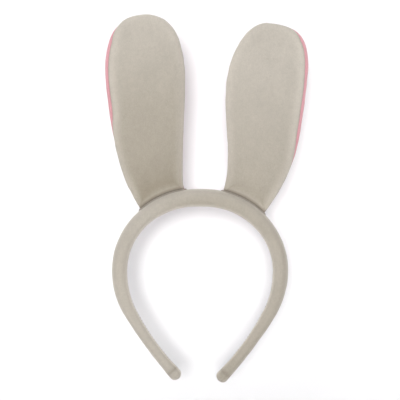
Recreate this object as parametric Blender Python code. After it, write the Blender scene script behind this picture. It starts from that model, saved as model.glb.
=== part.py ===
"""Padded headband with two tall soft animal ears, in metres, +Z up.

The band lies in the XZ plane, as it is worn. The origin is on the inner face at the middle of
the crown, where the band rests on the head. The wearer's left is -X and the wearer faces +Y.
"""
from math import cos, pi, radians, sin

import bmesh
import bpy
from mathutils import Vector

# Band centreline: a short flat at the crown, then tangent arcs down to each tip.
CROWN_FLAT = 0.0060
CROWN_RADIUS = 0.0632
CROWN_SWEEP = radians(45.0)
SHOULDER_RADIUS = 0.0557
SHOULDER_SWEEP = radians(45.0)
SIDE_RADIUS = 0.0675
SIDE_SWEEP = radians(29.8)
TAIL_RADIUS = 0.2620
TAIL_LENGTHS = {"left": 0.0622, "right": 0.0650}

# Band section: radial thickness and front-to-back depth.
CROWN_THICKNESS = 0.0140
SIDE_THICKNESS = 0.0122
TAIL_THICKNESS = 0.0088
CROWN_DEPTH = 0.0220
SIDE_DEPTH = 0.0170
TAIL_DEPTH = 0.0112
TIP_SWELL = 0.0008
TIP_SWELL_LENGTH = 0.0140
OUTER_ROUNDNESS = 2.2
INNER_ROUNDNESS = 3.0
SECTION_SIDES = 12
TIP_RING_ANGLES = (radians(28.0), radians(52.0), radians(72.0))
SHARP_ANGLE = radians(50.0)

# Layers of the band, from outside to inside.
BAND_FABRIC = 0.0012
INNER_PAD = 0.0016
CORE_THICKNESS = 0.0018
CORE_CROWN_WIDTH = 0.0120
CORE_TAIL_WIDTH = 0.0056
CORE_END_SPACE = 0.0040
CORE_EDGE_EASE = 0.6
LAYER_GAP = 0.0003
LAYER_INSETS = (0.0, BAND_FABRIC, BAND_FABRIC + LAYER_GAP)

# The legs flex outward about a line on the outer fibre, just below the ears.
FLEX_ANGLE = radians(55.0)
FLEX_GAP = 0.0004
RING_SPACING = 0.0068

# Sewing thread.
THREAD_RADIUS = 0.00035
THREAD_LIFT = 0.00045
THREAD_SIDES = 6
SEAM_PITCH = 0.0052
SEAM_SWING = 0.0006
SEAM_DEPTH_SHARE = 0.62
EAR_STITCH_MARGIN = 0.0021
EAR_STITCH_HALF_WIDTH = 0.0040
EAR_STITCH_POINTS = 30
EAR_STITCH_SWING = 0.0004
TIP_STITCH_SWING = 0.0005

# Ears. Each outline is four cubic curves through the seat corners, the widest points and the top.
EARS = {
    "left": {
        "seat_length": 0.0279, "seat_half_length": 0.0181, "lean": radians(7.8), "height": 0.1461,
        "inner_width": 0.0312, "inner_widest": 0.1009, "outer_width": 0.0329, "outer_widest": 0.0911,
        "inner_flare": radians(-19.8), "outer_flare": radians(23.2),
        "inner_seat_handle": 0.0101, "outer_seat_handle": 0.0401,
        "inner_side_handle": 0.0180, "outer_side_handle": 0.0256,
        "inner_shoulder_handle": 0.0150, "outer_shoulder_handle": 0.0336,
        "inner_top_handle": 0.0306, "outer_top_handle": 0.0192,
    },
    "right": {
        "seat_length": 0.0335, "seat_half_length": 0.0166, "lean": radians(7.7), "height": 0.1425,
        "inner_width": 0.0263, "inner_widest": 0.0930, "outer_width": 0.0370, "outer_widest": 0.0915,
        "inner_flare": radians(-15.2), "outer_flare": radians(27.4),
        "inner_seat_handle": 0.0250, "outer_seat_handle": 0.0422,
        "inner_side_handle": 0.0330, "outer_side_handle": 0.0386,
        "inner_shoulder_handle": 0.0239, "outer_shoulder_handle": 0.0408,
        "inner_top_handle": 0.0152, "outer_top_handle": 0.0294,
    },
}
EAR_HALF_THICKNESS = 0.0045
EAR_EDGE_ROUND = 0.0060
EAR_FABRIC = 0.0012
EAR_SEAT_GAP = 0.0005
EAR_SEAM_GAP_ANGLE = radians(2.0)
EAR_PIVOT_HEIGHT = EAR_HALF_THICKNESS + 0.0006
FRONT_WRAP_ANGLE = radians(50.0)
FRONT_WRAP_SPAN = (0.22, 0.52, 0.84, 1.06)
LOWER_STEPS = 7
UPPER_STEPS = 8
SEAT_STEPS = 6
EDGE_STEPS = 3

# Wire hoop and padding inside each ear.
WIRE_RADIUS = 0.0008
WIRE_SIDES = 6
WIRE_CLEARANCE = 0.0012
PADDING_EDGE_ROUND = 0.0020
PADDING_EDGE_SPACE = 0.0006
PADDING_RING_ANGLES = (radians(-90.0), radians(-35.0), radians(35.0), radians(90.0))

MATERIALS = {
    "grey_velour": ((0.479, 0.429, 0.376), 0.90, 0.0),
    "pink_velour": ((0.730, 0.270, 0.300), 0.90, 0.0),
    "cream_foam": ((0.800, 0.740, 0.560), 0.85, 0.0),
    "white_wadding": ((0.850, 0.850, 0.830), 0.95, 0.0),
    "white_plastic": ((0.750, 0.740, 0.700), 0.40, 0.0),
    "steel_wire": ((0.560, 0.560, 0.570), 0.35, 1.0),
    "grey_thread": ((0.330, 0.290, 0.245), 0.70, 0.0),
}

SIDES = {"left": -1.0, "right": 1.0}
CROWN_LENGTH = CROWN_FLAT / 2 + CROWN_RADIUS * CROWN_SWEEP
FLEX_LENGTH = CROWN_LENGTH + SHOULDER_RADIUS * (FLEX_ANGLE - CROWN_SWEEP)
SIDE_LENGTH = CROWN_LENGTH + SHOULDER_RADIUS * SHOULDER_SWEEP
TAIL_START = SIDE_LENGTH + SIDE_RADIUS * SIDE_SWEEP


def clear_scene():
    """Remove every object of the open file."""
    for item in list(bpy.data.objects):
        bpy.data.objects.remove(item, do_unlink=True)


def ease(value, start, end):
    """Smooth step from 0 at start to 1 at end."""
    share = min(1.0, max(0.0, (value - start) / (end - start)))
    return share * share * (3.0 - 2.0 * share)


# ---- the band's centreline and section ----

def centreline(length):
    """Point and turned angle at a length along the right half of the centreline."""
    arcs = ((CROWN_RADIUS, CROWN_SWEEP), (SHOULDER_RADIUS, SHOULDER_SWEEP),
            (SIDE_RADIUS, SIDE_SWEEP), (TAIL_RADIUS, pi))
    x = min(length, CROWN_FLAT / 2)
    z = CROWN_THICKNESS / 2
    angle = 0.0
    length -= x
    for radius, sweep in arcs:
        turn = min(sweep, length / radius)
        x += radius * (sin(angle + turn) - sin(angle))
        z += radius * (cos(angle + turn) - cos(angle))
        angle += turn
        length = max(0.0, length - turn * radius)
    return Vector((x, 0.0, z)), angle


def band_frame(length, side):
    """Centre point and outward direction; a negative length mirrors."""
    sign = side if length >= 0.0 else -side
    point, angle = centreline(abs(length))
    centre = Vector((sign * point.x, 0.0, point.z))
    outward = Vector((sign * sin(angle), 0.0, cos(angle)))
    return centre, outward


def leg_end(name):
    """Length along the centreline where a leg's rounded tip starts."""
    return TAIL_START + TAIL_LENGTHS[name]


def between(length, crown, side, tail):
    """A section size that runs from the crown through the side to the tail."""
    length = abs(length)
    if length < SIDE_LENGTH:
        return crown + (side - crown) * ease(length, CROWN_FLAT / 2, SIDE_LENGTH)
    return side + (tail - side) * ease(length, SIDE_LENGTH, TAIL_START + min(TAIL_LENGTHS.values()) / 2)


def section_size(length, end):
    """Half thickness and half depth of the band."""
    swell = TIP_SWELL * ease(abs(length), end - TIP_SWELL_LENGTH, end)
    half_thickness = between(length, CROWN_THICKNESS, SIDE_THICKNESS, TAIL_THICKNESS) / 2
    half_depth = between(length, CROWN_DEPTH, SIDE_DEPTH, TAIL_DEPTH) / 2
    return half_thickness + swell / 2, half_depth + swell / 2


def rounded_section(half_thickness, half_depth):
    """Section points (outward, depth): a rounded outer side and a flatter inner side."""
    points = []
    for index in range(SECTION_SIDES):
        angle = 2 * pi * (index + 0.5) / SECTION_SIDES
        power = OUTER_ROUNDNESS if sin(angle) > 0.0 else INNER_ROUNDNESS
        flat = sin(2 * pi * (SECTION_SIDES // 4 - 0.5) / SECTION_SIDES) ** (2 / power)
        across = abs(cos(angle)) ** (2 / power)
        along = min(1.0, abs(sin(angle)) ** (2 / power) / flat)
        points.append((half_thickness * along * (1 if sin(angle) > 0 else -1),
                       half_depth * across * (1 if cos(angle) > 0 else -1)))
    return points


def core_section(half_thickness, half_depth):
    """Flat strip with eased edges."""
    ease_size = half_thickness * CORE_EDGE_EASE
    corners = ((1, 1), (-1, 1), (-1, -1), (1, -1))
    points = []
    for up, across in corners:
        first = (up * half_thickness, across * (half_depth - ease_size))
        second = (up * (half_thickness - ease_size), across * half_depth)
        points += [first, second] if up * across > 0 else [second, first]
    return points


def section_ring(length, side, points, offset=0.0):
    """Section points placed square to the centreline."""
    centre, outward = band_frame(length, side)
    return [centre + outward * (out + offset) + Vector((0.0, depth, 0.0)) for out, depth in points]


def stations(start, end):
    """Evenly spaced lengths from start to end."""
    count = max(2, round(abs(end - start) / RING_SPACING))
    return [start + (end - start) * index / count for index in range(count + 1)]


def tip_stations(start, end, reach):
    """Stations of a leg, then a rounded tip: (length, section scale)."""
    run = [(length, 1.0) for length in stations(start, end)]
    dome = [(end + reach * sin(angle), cos(angle)) for angle in TIP_RING_ANGLES]
    return run + dome


# ---- meshes ----

def add_object(name, bm, material, parent):
    """Turn a bmesh in world coordinates into an object on its parent empty."""
    bmesh.ops.recalc_face_normals(bm, faces=bm.faces)
    bmesh.ops.translate(bm, verts=bm.verts, vec=-parent.location)
    mesh = bpy.data.meshes.new(name)
    bm.to_mesh(mesh)
    bm.free()
    mesh.shade_smooth()
    mesh.set_sharp_from_angle(angle=SHARP_ANGLE)
    mesh.materials.append(bpy.data.materials[material])
    item = bpy.data.objects.new(name, mesh)
    bpy.context.collection.objects.link(item)
    item.parent = parent
    return item


def add_empty(name, location):
    """An empty on a joint's axis, which carries the pieces of one body."""
    item = bpy.data.objects.new(name, None)
    item.location = location
    bpy.context.collection.objects.link(item)
    return item


def add_rings(bm, rings, closed_loop=False):
    """Skin successive rings of equal count; returns the rings' vertices."""
    loops = [[bm.verts.new(point) for point in points] for points in rings]
    pairs = list(zip(loops, loops[1:]))
    if closed_loop:
        pairs.append((loops[-1], loops[0]))
    for first, second in pairs:
        bridge(bm, first, second)
    return loops


def bridge(bm, first, second):
    """Quads between two vertex loops."""
    count = len(first)
    for index in range(count):
        after = (index + 1) % count
        bm.faces.new((first[index], first[after], second[after], second[index]))


def cap(bm, loop):
    """Fill a vertex loop with triangles."""
    face = bm.faces.new(loop)
    bmesh.ops.triangulate(bm, faces=[face])


def solid_from_rings(rings):
    """Closed solid with both ends filled."""
    bm = bmesh.new()
    loops = add_rings(bm, rings)
    cap(bm, loops[0])
    cap(bm, loops[-1])
    return bm


def sleeve_from_rings(outer, inner, closed_tip):
    """Tube with a wall: open at both ends, or a pocket with a closed tip."""
    bm = bmesh.new()
    outer_loops = add_rings(bm, outer)
    inner_loops = add_rings(bm, inner)
    bridge(bm, outer_loops[0], inner_loops[0])
    if closed_tip:
        cap(bm, outer_loops[-1])
        cap(bm, inner_loops[-1])
    else:
        bridge(bm, outer_loops[-1], inner_loops[-1])
    return bm


def tube_along(points, radius, sides, closed_loop=False):
    """Round tube through points, in a frame that turns as little as it can."""
    bm = bmesh.new()
    count = len(points)
    rings = []
    normal = None
    for index, point in enumerate(points):
        before = points[index - 1] if index or closed_loop else point
        after = points[(index + 1) % count] if index < count - 1 or closed_loop else point
        tangent = (after - before).normalized()
        if normal is None:
            normal = Vector((0.0, 1.0, 0.0)) if abs(tangent.y) < 0.9 else Vector((0.0, 0.0, 1.0))
        normal = (normal - tangent * normal.dot(tangent)).normalized()
        other = tangent.cross(normal)
        rings.append([point + (normal * cos(2 * pi * step / sides) + other * sin(2 * pi * step / sides)) * radius
                      for step in range(sides)])
    loops = add_rings(bm, rings, closed_loop)
    if not closed_loop:
        cap(bm, loops[0])
        cap(bm, loops[-1])
    return bm


# ---- band pieces ----

def layer_points(length, end, inset, scale=1.0):
    """Rounded section, drawn in by inset and scaled for the tip."""
    half_thickness, half_depth = section_size(length, end)
    return rounded_section((half_thickness - inset) * scale, (half_depth - inset) * scale)


def core_offset(length, end):
    """Place of the core's middle: a fixed padding under it, on the head side."""
    half_thickness, _ = section_size(length, end)
    return -half_thickness + BAND_FABRIC + INNER_PAD + 2 * LAYER_GAP + CORE_THICKNESS / 2


def core_half_width(length, end):
    """Half width of the core strip, which narrows towards the tips."""
    share = min(1.0, abs(length) / end)
    return (CORE_CROWN_WIDTH + (CORE_TAIL_WIDTH - CORE_CROWN_WIDTH) * share) / 2


def core_ring(length, side, end, margin):
    """Core section, or the pocket around it when margin is more than nothing."""
    half_thickness = CORE_THICKNESS / 2 + margin
    half_width = core_half_width(length, end) + margin
    return section_ring(length, side, core_section(half_thickness, half_width), core_offset(length, end))


def crown_stations():
    """Lengths of the crown's rings, with none inside the flat."""
    half = stations(CROWN_FLAT / 2, FLEX_LENGTH - FLEX_GAP / 2)
    return [-length for length in reversed(half)] + half


def add_crown_band(parent):
    """Core, foam, cover and inner seam of the crown."""
    end = leg_end("left")
    run = crown_stations()
    skins = [[section_ring(length, 1.0, layer_points(length, end, inset)) for length in run]
             for inset in LAYER_INSETS]
    pocket = [core_ring(length, 1.0, end, LAYER_GAP) for length in run]
    core = [core_ring(length, 1.0, end, 0.0) for length in run]
    add_object("crown_core", solid_from_rings(core), "white_plastic", parent)
    add_object("crown_foam", foam_sleeve(skins[2], pocket, False), "cream_foam", parent)
    add_object("crown_cover", sleeve_from_rings(skins[0], skins[1], False), "grey_velour", parent)
    seam = seam_points(run[0] + THREAD_LIFT, run[-1] - THREAD_LIFT, 1.0, end)
    add_object("crown_seam_thread", tube_along(seam, THREAD_RADIUS, THREAD_SIDES), "grey_thread", parent)


def foam_sleeve(outer, pocket, closed_tip):
    """Foam between a round outer skin and the flat pocket for the core."""
    bm = bmesh.new()
    outer_loops = add_rings(bm, outer)
    pocket_loops = add_rings(bm, pocket)
    join_unequal(bm, outer_loops[0], pocket_loops[0])
    if closed_tip:
        cap(bm, outer_loops[-1])
        cap(bm, pocket_loops[-1])
    else:
        join_unequal(bm, outer_loops[-1], pocket_loops[-1])
    return bm


def join_unequal(bm, outer, inner):
    """Flat end face between two loops of different counts, nearest point first."""
    edges = []
    for loop in (outer, inner):
        for index, vertex in enumerate(loop):
            pair = (vertex, loop[(index + 1) % len(loop)])
            edges.append(bm.edges.get(pair) or bm.edges.new(pair))
    bmesh.ops.bridge_loops(bm, edges=edges)


def add_leg_band(name, parent):
    """Core, foam, cover, inner seam and tip stitching of one leg."""
    side = SIDES[name]
    end = leg_end(name)
    start = FLEX_LENGTH + FLEX_GAP / 2
    reach, _ = section_size(end, end)
    skins = []
    for inset in LAYER_INSETS:
        run = tip_stations(start, end, reach - inset)
        skins.append([section_ring(length, side, layer_points(min(length, end), end, inset, scale))
                      for length, scale in run])
    core_run = stations(start, end - CORE_END_SPACE)
    pocket_run = stations(start, end - CORE_END_SPACE + LAYER_GAP)
    core = [core_ring(length, side, end, 0.0) for length in core_run]
    pocket = [core_ring(length, side, end, LAYER_GAP) for length in pocket_run]
    add_object(name + "_leg_core", solid_from_rings(core), "white_plastic", parent)
    add_object(name + "_leg_foam", foam_sleeve(skins[2], pocket, True), "cream_foam", parent)
    add_object(name + "_leg_cover", sleeve_from_rings(skins[0], skins[1], True), "grey_velour", parent)
    seam = seam_points(start + THREAD_LIFT, end - TIP_SWELL_LENGTH / 2, side, end)
    add_object(name + "_leg_seam_thread", tube_along(seam, THREAD_RADIUS, THREAD_SIDES), "grey_thread", parent)
    add_object(name + "_tip_stitching", tip_stitching(side, end), "grey_thread", parent)


def seam_points(start, end, side, end_of_leg):
    """Hand-sewn closing seam, on the inner face towards the front edge."""
    count = round((end - start) / SEAM_PITCH)
    points = []
    for index in range(count + 1):
        length = start + (end - start) * index / count
        half_thickness, half_depth = section_size(length, end_of_leg)
        centre, outward = band_frame(length, side)
        depth = SEAM_DEPTH_SHARE * half_depth - SEAM_SWING * (index % 2)
        drop = face_distance(depth, half_thickness, half_depth, INNER_ROUNDNESS)
        drop += THREAD_RADIUS + THREAD_LIFT
        points.append(centre - outward * drop + Vector((0.0, depth, 0.0)))
    return points


def face_distance(depth, half_thickness, half_depth, roundness):
    """Distance from the centreline to the inner or outer face at a depth."""
    share = (1 - (abs(depth) / half_depth) ** roundness) ** (1 / roundness)
    flat = cos(pi / SECTION_SIDES) ** (2 / roundness)
    return half_thickness * min(1.0, share / flat)


def tip_stitching(side, end):
    """Gathering thread around the leg, where the closed tip begins."""
    lift = THREAD_RADIUS + THREAD_LIFT
    middle = end - TIP_SWELL_LENGTH / 4
    half_thickness, half_depth = section_size(middle, end)
    points = []
    for index, (out, depth) in enumerate(rounded_section(half_thickness + lift, half_depth + lift)):
        length = middle + TIP_STITCH_SWING * (1 if index % 2 else -1)
        centre, outward = band_frame(length, side)
        points.append(centre + outward * out + Vector((0.0, depth, 0.0)))
    return tube_along(points, THREAD_RADIUS, THREAD_SIDES, closed_loop=True)


# ---- ears ----

def outer_surface(length, side, lift=0.0):
    """Point on the band's outer face, at a length along the centreline, raised by lift."""
    centre, outward = band_frame(length, side)
    half_thickness, _ = section_size(length, leg_end("left"))
    return centre + outward * (half_thickness + lift)


def cubic(points, steps):
    """Points of a cubic Bezier curve, without its last one."""
    result = []
    for index in range(steps):
        share = index / steps
        rest = 1.0 - share
        weights = (rest ** 3, 3 * share * rest ** 2, 3 * share ** 2 * rest, share ** 3)
        result.append(sum((point * weight for point, weight in zip(points, weights)), Vector()))
    return result


def ear_outline(name):
    """Closed outline from the inner seat corner over the top to the outer corner and back.

    Returns (point, height share, is_outer_edge) for each station.
    """
    ear = EARS[name]
    side = SIDES[name]
    seat = outer_surface(ear["seat_length"], side, EAR_SEAT_GAP)
    up = Vector((side * sin(ear["lean"]), 0.0, cos(ear["lean"])))
    across = Vector((side * cos(ear["lean"]), 0.0, -sin(ear["lean"])))
    top = seat + up * ear["height"]
    edges = {}
    for edge, sign in (("inner", -1.0), ("outer", 1.0)):
        corner = outer_surface(ear["seat_length"] + sign * ear["seat_half_length"], side, EAR_SEAT_GAP)
        flare = ear[edge + "_flare"]
        leaving = up * cos(flare) + across * sign * sin(flare)
        widest = seat + up * ear[edge + "_widest"] + across * sign * ear[edge + "_width"]
        lower = (corner, corner + leaving * ear[edge + "_seat_handle"],
                 widest - up * ear[edge + "_side_handle"], widest)
        upper = (widest, widest + up * ear[edge + "_shoulder_handle"],
                 top + across * sign * ear[edge + "_top_handle"], top)
        edges[edge] = cubic(lower, LOWER_STEPS) + cubic(upper, UPPER_STEPS)
    outline = [(point, False) for point in edges["inner"]]
    outline.append((top, True))
    outline += [(point, True) for point in reversed(edges["outer"])]
    for index in range(1, SEAT_STEPS):
        share = 1.0 - 2.0 * index / SEAT_STEPS
        length = ear["seat_length"] + share * ear["seat_half_length"]
        outline.append((outer_surface(length, side, EAR_SEAT_GAP), False))
    return [(point, (point - seat).dot(up) / ear["height"], outer) for point, outer in outline]


def inward_offsets(outline):
    """Mitred inward direction at each station of the outline, in the XZ plane."""
    points = [point for point, _, _ in outline]
    middle = sum(points, Vector()) / len(points)
    directions = []
    for index, point in enumerate(points):
        before = (point - points[index - 1]).normalized()
        after = (points[(index + 1) % len(points)] - point).normalized()
        first = Vector((-before.z, 0.0, before.x))
        second = Vector((-after.z, 0.0, after.x))
        if first.dot(middle - point) + second.dot(middle - point) < 0:
            first = -first
            second = -second
        directions.append((first + second) / (1.0 + first.dot(second)))
    return directions


def seam_angles(outline):
    """Where the front panel's edge lies on the rounded rim: behind the rim on the outer edge."""
    rise_start, rise_end, fall_start, fall_end = FRONT_WRAP_SPAN
    angles = []
    for _, share, outer in outline:
        weight = ease(share, rise_start, rise_end) * (1.0 - ease(share, fall_start, fall_end))
        angles.append(-FRONT_WRAP_ANGLE * weight if outer else 0.0)
    return angles


def rim_ring(outline, inward, inset, edge_round, half_thickness, angles):
    """One ring on the rounded rim: angle 0 is the rim's middle, +90 degrees its front face."""
    points = []
    for (point, _, _), direction, angle in zip(outline, inward, angles):
        reach = inset + edge_round * (1.0 - cos(angle))
        points.append(point + direction * reach + Vector((0.0, half_thickness * sin(angle), 0.0)))
    return points


def ear_panel(outline, inward, facing):
    """Cupped fabric panel: facing is -1 for the back and +1 for the front."""
    starts = [angle + facing * EAR_SEAM_GAP_ANGLE for angle in seam_angles(outline)]
    skins = []
    for fabric in (0.0, EAR_FABRIC):
        rings = []
        for step in range(EDGE_STEPS + 1):
            share = step / EDGE_STEPS
            angles = [start + (facing * pi / 2 - start) * share for start in starts]
            rings.append(rim_ring(outline, inward, fabric, EAR_EDGE_ROUND - fabric,
                                  EAR_HALF_THICKNESS - fabric, angles))
        skins.append(rings)
    return sleeve_from_rings(skins[0], skins[1], True)


def ear_padding(outline, inward):
    """Wadding inside the wire hoop."""
    inset = hoop_inset() + WIRE_RADIUS + LAYER_GAP + PADDING_EDGE_SPACE
    half_thickness = EAR_HALF_THICKNESS - EAR_FABRIC - LAYER_GAP
    rings = []
    for angle in PADDING_RING_ANGLES:
        angles = [angle] * len(outline)
        rings.append(rim_ring(outline, inward, inset, PADDING_EDGE_ROUND, half_thickness, angles))
    return solid_from_rings(rings)


def hoop_inset():
    """Distance from the ear's outline to the wire's middle."""
    return EAR_FABRIC + WIRE_CLEARANCE + WIRE_RADIUS


def ear_wire(outline, inward):
    """Hoop of wire along the edge, with its two ends turned in along the seat."""
    points = [point + direction * hoop_inset() for (point, _, _), direction in zip(outline, inward)]
    gap = SEAT_STEPS // 2
    open_from = len(points) - gap
    path = points[open_from:] + points[:open_from - 1]
    return tube_along(path, WIRE_RADIUS, WIRE_SIDES)


def slot_point(distance, straight, radius):
    """Point (along, across) at a distance round a slot shape with half-round ends."""
    quarter = straight + radius * pi / 2
    quadrant, run = divmod(distance, quarter)
    if quadrant in (1, 3):
        run = quarter - run
    turn = min(run / radius, pi / 2)
    along = straight + radius * cos(turn) - max(0.0, run - radius * pi / 2)
    across = radius * sin(turn)
    return along * (-1 if quadrant in (1, 2) else 1), across * (-1 if quadrant in (2, 3) else 1)


def ear_stitching(name):
    """Thread that sews the ear's base to the crown's cover, laid around the seat."""
    ear = EARS[name]
    side = SIDES[name]
    straight = ear["seat_half_length"] + EAR_STITCH_MARGIN - EAR_STITCH_HALF_WIDTH
    end = leg_end(name)
    points = []
    for index in range(EAR_STITCH_POINTS):
        radius = EAR_STITCH_HALF_WIDTH + EAR_STITCH_SWING * (1 if index % 2 else -1)
        distance = 4 * (straight + radius * pi / 2) * index / EAR_STITCH_POINTS
        along, depth = slot_point(distance, straight, radius)
        length = ear["seat_length"] + along
        half_thickness, half_depth = section_size(length, end)
        centre, outward = band_frame(length, side)
        height = face_distance(depth, half_thickness, half_depth, OUTER_ROUNDNESS)
        height += THREAD_RADIUS + THREAD_LIFT
        points.append(centre + outward * height + Vector((0.0, depth, 0.0)))
    return tube_along(points, THREAD_RADIUS, THREAD_SIDES, closed_loop=True)


def add_ear(name, parent):
    """Back and front panels, padding and wire of one ear."""
    outline = ear_outline(name)
    inward = inward_offsets(outline)
    prefix = name + "_ear_"
    add_object(prefix + "back_panel", ear_panel(outline, inward, -1), "grey_velour", parent)
    add_object(prefix + "front_panel", ear_panel(outline, inward, 1), "pink_velour", parent)
    add_object(prefix + "padding", ear_padding(outline, inward), "white_wadding", parent)
    add_object(prefix + "wire", ear_wire(outline, inward), "steel_wire", parent)


def make_materials():
    """One plain material for each finish."""
    for name, (colour, roughness, metallic) in MATERIALS.items():
        material = bpy.data.materials.new(name)
        material.use_nodes = True
        shader = material.node_tree.nodes["Principled BSDF"]
        shader.inputs["Base Color"].default_value = (*colour, 1.0)
        shader.inputs["Roughness"].default_value = roughness
        shader.inputs["Metallic"].default_value = metallic


def main():
    """Build the whole headband."""
    clear_scene()
    make_materials()
    crown = add_empty("crown_frame", Vector((0.0, 0.0, 0.0)))
    add_crown_band(crown)
    for name, side in SIDES.items():
        stitching = ear_stitching(name)
        add_object(name + "_ear_stitching", stitching, "grey_thread", crown)
        leg = add_empty(name + "_leg_flex", outer_surface(FLEX_LENGTH, side))
        add_leg_band(name, leg)
        pivot = outer_surface(EARS[name]["seat_length"], side, EAR_PIVOT_HEIGHT)
        add_ear(name, add_empty(name + "_ear_tilt", pivot))


main()
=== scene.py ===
from math import cos, exp, pi, radians, sin, sqrt

import bmesh
import bpy
import numpy as np
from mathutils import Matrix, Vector, noise


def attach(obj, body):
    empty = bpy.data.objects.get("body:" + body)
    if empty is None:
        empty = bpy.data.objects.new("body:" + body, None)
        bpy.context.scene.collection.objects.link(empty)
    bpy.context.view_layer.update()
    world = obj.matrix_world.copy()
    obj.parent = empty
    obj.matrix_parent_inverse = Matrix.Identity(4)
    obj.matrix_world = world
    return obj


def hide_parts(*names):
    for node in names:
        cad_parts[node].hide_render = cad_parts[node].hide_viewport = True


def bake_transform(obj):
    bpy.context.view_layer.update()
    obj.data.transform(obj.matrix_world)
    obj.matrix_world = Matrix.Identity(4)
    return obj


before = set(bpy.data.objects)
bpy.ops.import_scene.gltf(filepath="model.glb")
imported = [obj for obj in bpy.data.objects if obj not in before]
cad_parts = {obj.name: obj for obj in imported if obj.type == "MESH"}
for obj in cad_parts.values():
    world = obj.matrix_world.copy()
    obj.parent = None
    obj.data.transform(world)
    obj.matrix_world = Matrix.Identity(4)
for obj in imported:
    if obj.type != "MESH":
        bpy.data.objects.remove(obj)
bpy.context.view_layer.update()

scene = bpy.context.scene
depth = Vector((0.0, 1.0, 0.0))        # front to back of the headband, +Y is the wearer's front


def smooth(value, start, end):
    share = min(1.0, max(0.0, (value - start) / (end - start)))
    return share * share * (3.0 - 2.0 * share)


# Value at a share from 0 to 1 along an evenly spaced list.
def level(values, share):
    place = min(0.9999, max(0.0, share)) * (len(values) - 1)
    index = int(place)
    return values[index] + (values[index + 1] - values[index]) * (place - index)


# Soft random value from -1 to 1 that changes over about size metres.
def lumps(point, size, seed=0.0):
    return noise.noise(Vector(point) / size + Vector((seed, seed * 1.7, seed * 0.6)))


# camera, room and lamps

view = {"lens": 200.0, "sensor": 36.0, "frameWidth": 0.320, "middle": (0.0, 0.0052)}

def makeCamera():
    data = bpy.data.cameras.new("camera")
    data.lens = view["lens"]
    data.sensor_width = view["sensor"]
    camera = bpy.data.objects.new("camera", data)
    distance = view["frameWidth"] * view["lens"] / view["sensor"]
    camera.location = (view["middle"][0], -distance, view["middle"][1])
    camera.rotation_euler = (radians(90.0), 0.0, 0.0)
    data.clip_start = 0.05
    data.clip_end = 20.0
    scene.collection.objects.link(camera)
    scene.camera = camera


room = {
    "floor": -0.182, "wall": 0.150, "cove": 0.012, "reach": 2.6, "height": 2.2,
    "colour": (0.960, 0.960, 0.965), "sky": (0.93, 0.95, 1.0), "seenSky": 0.97,
    "horizon": 0.07, "ceiling": 0.80, "ceilingFrom": 0.62, "ceilingTo": 0.88, "coveSteps": 12,
}

# Floor and wall in one sheet with a rounded corner, seen from the front only.
def makeRoom():
    profile = [(-room["reach"], room["floor"])]
    for step in range(room["coveSteps"] + 1):
        turn = pi / 2 * step / room["coveSteps"]
        profile.append((room["wall"] - room["cove"] + room["cove"] * sin(turn),
                        room["floor"] + room["cove"] - room["cove"] * cos(turn)))
    profile.append((room["wall"], room["height"]))
    bm = bmesh.new()
    rows = [[bm.verts.new((x, y, z)) for x in (-room["reach"], room["reach"])] for y, z in profile]
    for lower, upper in zip(rows, rows[1:]):
        bm.faces.new((lower[0], lower[1], upper[1], upper[0]))
    mesh = bpy.data.meshes.new("studio_sweep")
    bm.to_mesh(mesh)
    bm.free()
    mesh.shade_smooth()
    sweep = bpy.data.objects.new("studio_sweep", mesh)
    scene.collection.objects.link(sweep)
    material = bpy.data.materials.new("studioPaper")
    material.use_nodes = True
    nodes, links = material.node_tree.nodes, material.node_tree.links
    paper = nodes["Principled BSDF"]
    paper.inputs["Base Color"].default_value = (*room["colour"], 1.0)
    paper.inputs["Roughness"].default_value = 0.95
    paper.inputs["Specular IOR Level"].default_value = 0.0
    clear = nodes.new("ShaderNodeBsdfTransparent")
    side = nodes.new("ShaderNodeNewGeometry")
    mix = nodes.new("ShaderNodeMixShader")
    links.new(side.outputs["Backfacing"], mix.inputs["Fac"])
    links.new(paper.outputs["BSDF"], mix.inputs[1])
    links.new(clear.outputs["BSDF"], mix.inputs[2])
    links.new(mix.outputs["Shader"], nodes["Material Output"].inputs["Surface"])
    mesh.materials.append(material)


# Dim light from all round and a bright ceiling; the lens sees it nearly white.
def makeSky():
    world = bpy.data.worlds.new("paleSky")
    world.use_nodes = True
    nodes, links = world.node_tree.nodes, world.node_tree.links
    light = nodes["Background"]
    light.inputs["Color"].default_value = (*room["sky"], 1.0)
    direction = nodes.new("ShaderNodeSeparateXYZ")
    links.new(nodes.new("ShaderNodeTexCoord").outputs["Generated"], direction.inputs["Vector"])
    upward = nodes.new("ShaderNodeMapRange")
    upward.interpolation_type = "SMOOTHSTEP"
    links.new(direction.outputs["Z"], upward.inputs["Value"])
    upward.inputs["From Min"].default_value = room["ceilingFrom"]
    upward.inputs["From Max"].default_value = room["ceilingTo"]
    upward.inputs["To Min"].default_value = room["horizon"]
    upward.inputs["To Max"].default_value = room["ceiling"]
    links.new(upward.outputs["Result"], light.inputs["Strength"])
    seen = nodes.new("ShaderNodeBackground")
    seen.inputs["Color"].default_value = (1.0, 1.0, 1.0, 1.0)
    seen.inputs["Strength"].default_value = room["seenSky"]
    path = nodes.new("ShaderNodeLightPath")
    mix = nodes.new("ShaderNodeMixShader")
    links.new(path.outputs["Is Camera Ray"], mix.inputs["Fac"])
    links.new(light.outputs["Background"], mix.inputs[1])
    links.new(seen.outputs["Background"], mix.inputs[2])
    links.new(mix.outputs["Shader"], nodes["World Output"].inputs["Surface"])
    scene.world = world


lamps = {
    "softbox": {"kind": "AREA", "place": (-0.50, -0.95, 1.45), "size": 1.1, "power": 5.2,
                "colour": (1.0, 0.99, 0.975)},
    "window": {"kind": "SUN", "place": (-0.23, -8.0, 0.26), "size": radians(8.0), "power": 2.08,
               "colour": (1.0, 0.995, 0.99)},
}

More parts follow.
